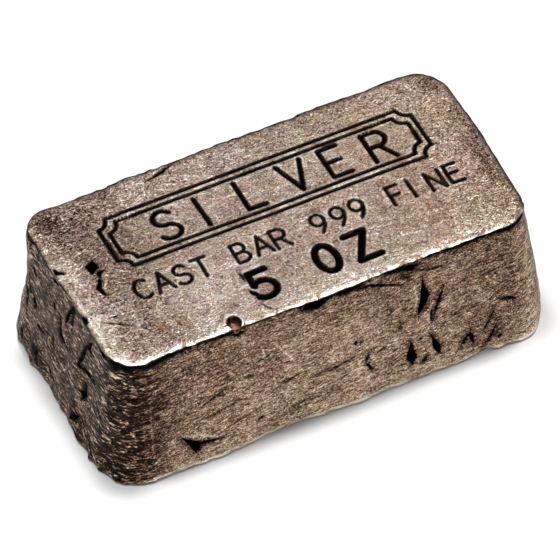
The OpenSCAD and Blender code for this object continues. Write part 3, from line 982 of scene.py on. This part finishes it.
def blacken():
    # painted shade in a line under the lip, thickest round the near corner, dirt in the cracks, a thin line
    # on the other edges
    corner = blot((-20.5, -10, 14), (3, 3, 3))
    thick = 0.22 + 0.12 * soft + 0.12 * rag + 0.1 * nick + 0.3 * corner + 0.1 * left * (soft - 0.4)
    thick = np.maximum(thick, 0.05)
    under = smooth(1.6 - np.abs(edgeSpan + thick) / (thick + 0.02)) * onWall * (edgeSpan < 0.02)
    chipped = smooth(1.0 + 2.5 * clouds(form, (0.8, 0.8, 9), 42))
    # painted shade under the front and left lip
    lay("recessAndShade", under * np.clip(front + 0.95 * left * chipped, 0, 1))
    lay("recessAndShade", smooth((crack - 0.3) / 0.3) * onWall)
    rims = back * smooth((form[:, 0] + 24) / 12) + 0.7 * right
    rims += 0.5 * left * smooth(2 * clouds(form, (1.4, 1.4, 9), 44))
    line = hump(edgeSpan, 0.08, np.clip(0.2 + 0.1 * rag + 0.08 * nick, 0.05, 1))
    line *= onWall * np.clip(rims, 0, 1)
    lay("recessAndShade", line * np.clip(0.75 + 0.4 * fine, 0, 1))


def coarsen(rightCorner):
    x, y, _ = form.T
    ends = 0.55 * smooth((-x - 12) / 5) + 0.4 * smooth((x - 12) / 5) + 0.35 * smooth((y - 5) / 4)
    coarse = (1.1 * nearCorner + 0.78 * left) * belowEdge + patch + onTop * np.clip(ends, 0, 1)
    layers["coarse"] = np.clip(coarse, 0, 1.3) + 0.3 * rightCorner


def soilAndShade(rust, rightCorner):
    # dirt and stains, with painted shade and painted light on the front wall, the near corner and the left
    # end
    x, y, z = form.T
    # the near corner and the left end darker, part dirt and part painted shade; paler along the left strip,
    # part wear and part painted highlight
    grimeAndShading = blots("grimeAndShading") + (1.45 * nearCorner + 0.85 * left) * belowEdge + 0.3 * crack ** 0.3 * onWall
    grimeAndShading += 0.35 * patch + 0.5 * rust * (1 + fine) - 0.4 * leftStrip * smooth(0.8 + rag)
    # front wall: paler in its middle, paler at its foot as painted light, darker under its edge as painted
    # shade, and darker to the right
    grimeAndShading -= 0.2 * front * belowEdge * blot((0, -11.5, 6), (9, 5, 7))
    grimeAndShading -= 0.8 * front * onWall * np.exp(-z / 1.3) * smooth((x + 21) / 3) * (1 + 0.3 * fine)
    grimeAndShading += 0.35 * front * hump(edgeSpan, -0.5, 0.6) * onWall * (1 + soft)
    grimeAndShading += 0.25 * front * smooth((x - 10) / 6) * onWall
    # back and right walls: darker, but paler at the right corner
    grimeAndShading += 0.28 * onWall * np.clip(1 - front - left, 0, 1)
    grimeAndShading -= 0.3 * rightCorner * smooth(0.8 + soft)
    # stamped face: darker to the back, the right and the left, and in a ragged strip at its right edge
    grimeAndShading += onTop * (0.1 * smooth((y - 6.5) / 4) + 0.14 * smooth((x - 15) / 6) + 0.46 * smooth((-x - 9) / 8))
    grimeAndShading += 0.45 * onTop * smooth((x - 19.2) / 1.2) * smooth(0.5 + 1.5 * soft) * smooth((y + 8.5) / 1.5)
    layers["grimeAndShading"] = np.clip(layers["grimeAndShading"] + grimeAndShading * (1 + 0.3 * soft), -1.1, 1.6)


def layColours():
    rust = np.clip(sum(blot((x, y, barHeight), (0.4, 0.45, 1)) for x, y in stains["rust"]), 0, 1)
    rightCorner = hump(np.degrees(facing), 300, 20) * belowEdge   # paler and rougher
    rubAndLightEdges(rubbingAndSheen)
    blacken()
    coarsen(rightCorner)
    soilAndShade(rust, rightCorner)
    copper = 1.05 * rust + blots("copper") + 0.75 * burst * smooth((edgeSpan + 0.45) / 0.2)
    layers["copper"] = np.clip(layers["copper"] + copper * (0.7 + 0.5 * fine), 0, 1)
    layers["warm"] = (0.25 + 0.75 * front + 0.65 * left) * belowEdge
    layers["warm"] += 0.5 * onTop * smooth((form[:, 0] - 2) / 12)
    layers["upFace"] = np.where(onWall, smooth(edgeSpan / 0.4 + 0.1), onTop)


layColours()
places[:, 2] = np.maximum(places[:, 2], 0)
setPlaces(places)
mesh.polygons.foreach_set("use_smooth", np.ones(len(mesh.polygons), bool))
for name, values in layers.items():
    mesh.attributes.new(name, "FLOAT", "POINT").data.foreach_set("value", values.astype(np.float32))
bar = bpy.data.objects.new("poured_bar", mesh)
bpy.context.scene.collection.objects.link(bar)
mesh.calc_loop_triangles()
print("bar made, triangles", len(mesh.loop_triangles))

silverTones = {    # linear colours from the blackest tarnish and painted shade to rubbed metal and painted highlight
    "black": (0.0035, 0.0024, 0.002), "oxide": (0.0125, 0.0065, 0.0043),
    "dark": (0.056, 0.0305, 0.0217), "brown": (0.176, 0.1045, 0.079),
    "tan": (0.345, 0.26, 0.211), "pale": (0.595, 0.506, 0.43), "rubbedAndLit": (0.95, 0.89, 0.845),
    "copper": (0.5, 0.24, 0.13),
    # tints that the tones are multiplied by
    "wallTint": (1.02, 0.93, 0.8), "pink": (1.06, 0.965, 1.0), "green": (0.975, 1.02, 0.98),
    "yellow": (1.01, 1.0, 0.88), "blue": (0.99, 1.0, 1.06),
}
toneStops = (   # where each comes on the scale from 0, black, to 1, rubbed bright and painted highlight
    (0.05, "oxide"), (0.25, "dark"), (0.43, "brown"), (0.6, "tan"), (0.78, "pale"), (0.97, "rubbedAndLit"),
)
toneShares = {   # how much each pattern or layer lightens the tone, or darkens it where below 0
    # upFace lightens the stamped face against the walls, as painted light from above
    "lightLines": 0.13, "darkLines": -0.14, "blotch": 0.37, "broad": 0.26, "upFace": 0.135, "scuff": 0.16,
    "gouged": -0.18, "coarse": 0.07, "wornAndSheen": 0.46, "grimeAndShading": -0.34, "glints": 0.07, "pits": -0.1,
    "darkLinesOnWall": -0.08, "pitsOnWall": -0.16,   # and so much more on the walls
}


def silverMaterial(tones, shares):
    mat = bpy.data.materials.new("tarnished_silver")
    mat.use_nodes = True
    tree = mat.node_tree
    shader = tree.nodes["Principled BSDF"]

    def put(kind, values, **settings):
        node = tree.nodes.new("ShaderNode" + kind)
        for key, value in settings.items():
            setattr(node, key, value)
        for key, value in values.items():
            if isinstance(value, bpy.types.NodeSocket):
                tree.links.new(value, node.inputs[key])
            else:
                node.inputs[key].default_value = value
        return node.outputs[0]

    def layer(name):
        return put("Attribute", {}, attribute_name=name).node.outputs["Fac"]

    def calc(kind, a, b=0.0, c=0.0, clamp=False):
        return put("Math", {0: a, 1: b, 2: c}, operation=kind, use_clamp=clamp)

    times, plus, minus, larger, timesPlus = (
        functools.partial(calc, kind) for kind in ("MULTIPLY", "ADD", "SUBTRACT", "MAXIMUM", "MULTIPLY_ADD"))

    def spread(value, low, high, out0=0.0, out1=1.0):
        ends = {"From Min": low, "From Max": high, "To Min": out0, "To Max": out1}
        return put("MapRange", {"Value": value, **ends})

    where = tree.nodes.new("ShaderNodeTexCoord").outputs["Object"]

    def pattern(perMm, detail=2.0, rough=0.5, bend=0.0, turn=(0, 0, 0)):
        # noise with so many spots to the mm along, across and up
        scale = [1000 * s for s in perMm]
        spun = put("Mapping", {"Vector": where, "Rotation": [math.radians(t) for t in turn]})
        at = put("Mapping", {"Vector": spun, "Scale": scale})
        kind = {"Scale": 1.0, "Detail": detail, "Roughness": rough, "Distortion": bend}
        return put("TexNoise", {"Vector": at, **kind})

    def scores(perMm, turn, least):
        # long straight broken lines
        return spread(pattern(perMm, 1, 0.5, 0.1, turn), least, least + 0.08)

    def blend(share, a, b):
        return put("MixRGB", {"Fac": share, "Color1": a, "Color2": b})

    def tinted(share, a, b):
        return put("MixRGB", {"Fac": share, "Color1": a, "Color2": b}, blend_type="MULTIPLY")

    def eachSide(top, wall):
        # one pattern on the stamped face, another on the walls
        return plus(times(top, upFace), times(wall, wallShare))

    recessAndShade, grimeAndShading, wornAndSheen, copper, coarse, warm, upFace = (layer(n) for n in layers)
    wallShare = minus(1.0, upFace)
    broad = pattern((0.13, 0.13, 0.2), 3)
    blotch = pattern((0.7, 0.7, 0.8), 4, 0.65, 0.4)
    grainTop = pattern((3.5, 5.2, 4.4), 3, 0.75, 0.8, (0, 0, 8))
    brush = pattern((1.2, 1.2, 5.2), 3, 0.7, 0.5, (0, 6, 0))
    grainWall = pattern((3.2, 3.2, 4.8), 3, 0.75, 0.9)
    specks = pattern((6.5, 6.5, 8.5), 1, 0.5, 0.6)
    wallGrain = plus(times(brush, 0.6), times(grainWall, 0.55))
    wallGrain = minus(wallGrain, 0.075)
    hatch = pattern((1.05, 1.05, 3.5), 4, 0.7, 0.8, (0, 4, 0))
    hatch = minus(times(hatch, 0.8), times(grainWall, 0.4))
    wallGrain = timesPlus(minus(hatch, 0.2), coarse, wallGrain)
    grain = eachSide(grainTop, wallGrain)
    ownWall = timesPlus(warm, 1.0, 0.2)
    contrast = timesPlus(wallShare, ownWall, timesPlus(larger(grimeAndShading, 0.0), 0.9, 0.8))
    contrast = timesPlus(coarse, 0.95, contrast)
    contrast = times(contrast, timesPlus(wornAndSheen, -0.6, 1.0))

    def wisps(perMm, turn, shift, width):
        # thin wandering broken lines
        place = put("VectorMath", {0: where, 1: (shift * mm, 0, shift * mm)}, operation="ADD")
        spun = put("Mapping", {"Vector": place, "Rotation": [math.radians(t) for t in (0, *turn)]})
        at = put("Mapping", {"Vector": spun, "Scale": [1000 * s for s in perMm]})
        kind = {"Scale": 1.0, "Detail": 1.0, "Roughness": 0.5, "Distortion": 1.0}
        bent = put("TexNoise", {"Vector": at, **kind})
        there = put("TexNoise", {"Vector": at, "Scale": 0.9, "Detail": 0.0})
        line = spread(calc("ABSOLUTE", minus(bent, 0.5)), 0.0, width, 1.0, 0.0)
        return times(line, spread(there, 0.5, 0.58))

    topLight = wisps((0.9, 1.7, 1.5), (0, 10), 31, 0.035)
    topDark = wisps((0.9, 1.5, 1.5), (0, -14), 47, 0.035)
    wallLight = wisps((0.5, 0.5, 2.0), (6, 0), 61, 0.04)
    wallDark = wisps((0.6, 0.6, 2.0), (5, 0), 73, 0.045)
    lightLines = eachSide(topLight, wallLight)
    darkLines = eachSide(topDark, wallDark)
    topScores = larger(scores((0.12, 5, 5), (0, 0, 12), 0.66), scores((0.14, 6, 6), (0, 0, -19), 0.67))
    topScores = larger(topScores, scores((0.2, 5.5, 5.5), (0, 0, 63), 0.7))
    wallScores = larger(scores((0.2, 0.4, 6), (0, 17, 0), 0.66), scores((0.24, 0.4, 6.5), (0, -28, 0), 0.67))
    scuff = larger(times(topScores, upFace), times(wallScores, wallShare))
    gouged = spread(pattern((0.3, 0.4, 5), 1, 0.5, 0.1, (0, 14, 0)), 0.34, 0.26)
    gouged = times(gouged, wallShare)
    pits = spread(pattern((1.7, 1.7, 2.3), 3, 0.6, 0.8), 0.38, 0.32)
    glints = spread(pattern((4.6, 4.6, 5.6), 2, 0.6, 0.2), 0.64, 0.72)
    tone = timesPlus(minus(grain, 0.5), contrast, 0.5)
    speckle = times(timesPlus(contrast, 0.5, 0.32), timesPlus(coarse, -0.6, 1.0))
    tone = timesPlus(minus(specks, 0.5), speckle, tone)
    tone = timesPlus(times(spread(grain, 0.5, 0.3), coarse), -0.3, tone)
    shares = dict(shares)
    for name in ("darkLines", "pits"):
        shares[name] = timesPlus(wallShare, shares[name + "OnWall"], shares[name])
    strewn = {
        "lightLines": lightLines, "darkLines": darkLines,
        "blotch": minus(blotch, 0.5), "broad": minus(broad, 0.5),
        # upFace paints the stamped face lighter, as light from above
        "upFace": upFace, "scuff": scuff, "gouged": gouged, "coarse": coarse, "wornAndSheen": wornAndSheen, "grimeAndShading": grimeAndShading,
        "glints": times(glints, minus(1.0, grimeAndShading, clamp=True)),
    }
    for name, value in strewn.items():
        tone = timesPlus(value, shares[name], tone)
    tone = timesPlus(pits, shares["pits"], tone, clamp=True)
    ramp = tree.nodes.new("ShaderNodeValToRGB")
    while len(ramp.color_ramp.elements) < len(toneStops):
        ramp.color_ramp.elements.new(0.5)
    for element, (at, name) in zip(ramp.color_ramp.elements, toneStops):
        element.position = at
        element.color = (*tones[name], 1)
    tree.links.new(tone, ramp.inputs["Fac"])
    colour = ramp.outputs["Color"]
    hues = ((pattern((0.3, 0.3, 0.36), 5, 0.8), "green", "pink"),
            (pattern((0.36, 0.33, 0.3), 5, 0.8, 0.3), "blue", "yellow"))
    for hue, one, other in hues:
        tint = blend(spread(hue, 0.36, 0.64), (*tones[one], 1), (*tones[other], 1))
        colour = tinted(1.0, colour, tint)
    dull = times(warm, minus(1.0, wornAndSheen))
    colour = tinted(dull, colour, (*tones["wallTint"], 1))
    copperShare = spread(timesPlus(minus(blotch, 0.5), 1.4, copper), 0.4, 0.9, 0.0, 0.85)
    colour = blend(copperShare, colour, (*tones["copper"], 1))
    colour = blend(recessAndShade, colour, (*tones["black"], 1))
    tree.links.new(colour, shader.inputs["Base Color"])
    shader.inputs["Metallic"].default_value = 1
    roughness = spread(tone, 0.15, 0.9, 0.6, 0.3)
    tree.links.new(larger(roughness, times(recessAndShade, 0.75)), shader.inputs["Roughness"])
    rough = plus(larger(warm, coarse), upFace, clamp=True)
    height = timesPlus(grain, timesPlus(rough, 0.65, 0.35), times(blotch, 0.8))
    height = timesPlus(scuff, -0.2, height)
    height = timesPlus(pits, -0.5, height)
    bump = put("Bump", {"Strength": 1.0, "Distance": 0.12 * mm, "Height": height})
    tree.links.new(bump, shader.inputs["Normal"])
    return mat


mesh.materials.append(silverMaterial(silverTones, toneShares))
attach(bar, "root")
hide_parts("silver_bar")
print("material made")

# two lamps almost overhead, a little behind the bar, so that its front foot stands in their shade
studio = {
    "world": 0.3,
    "backRight": {"from": (0.135, 0.152, 1), "away": 2.0, "across": 0.25, "watts": 22},
    "backLeft": {"from": (-0.16, 0.152, 1), "away": 2.0, "across": 0.25, "watts": 15},
}


def addLight(name, light):
    way = Vector(light["from"]).normalized()
    data = bpy.data.lights.new(name, "AREA")
    data.shape = "DISK"
    data.size = light["across"]
    data.energy = light["watts"]
    lamp = bpy.data.objects.new(name, data)
    lamp.location = way * light["away"]
    lamp.rotation_euler = way.to_track_quat("Z", "Y").to_euler()
    bpy.context.scene.collection.objects.link(lamp)


def addStage():
    bpy.ops.mesh.primitive_plane_add(size=6, location=(0, 0, 0))
    floor = bpy.context.object
    floor.name = "floor"
    m = bpy.data.materials.new("pale_floor")
    m.use_nodes = True
    s = m.node_tree.nodes["Principled BSDF"]
    s.inputs["Base Color"].default_value = (0.9, 0.9, 0.9, 1)
    s.inputs["Roughness"].default_value = 0.9
    s.inputs["Specular IOR Level"].default_value = 0
    floor.data.materials.append(m)
    world = bpy.data.worlds.new("world")
    bpy.context.scene.world = world
    world.use_nodes = True
    world.node_tree.nodes["Background"].inputs["Color"].default_value = (1, 1, 1, 1)
    world.node_tree.nodes["Background"].inputs["Strength"].default_value = studio["world"]
    bpy.context.scene.view_settings.view_transform = "Standard"
    for name in ("backRight", "backLeft"):
        addLight(name, studio[name])


addStage()
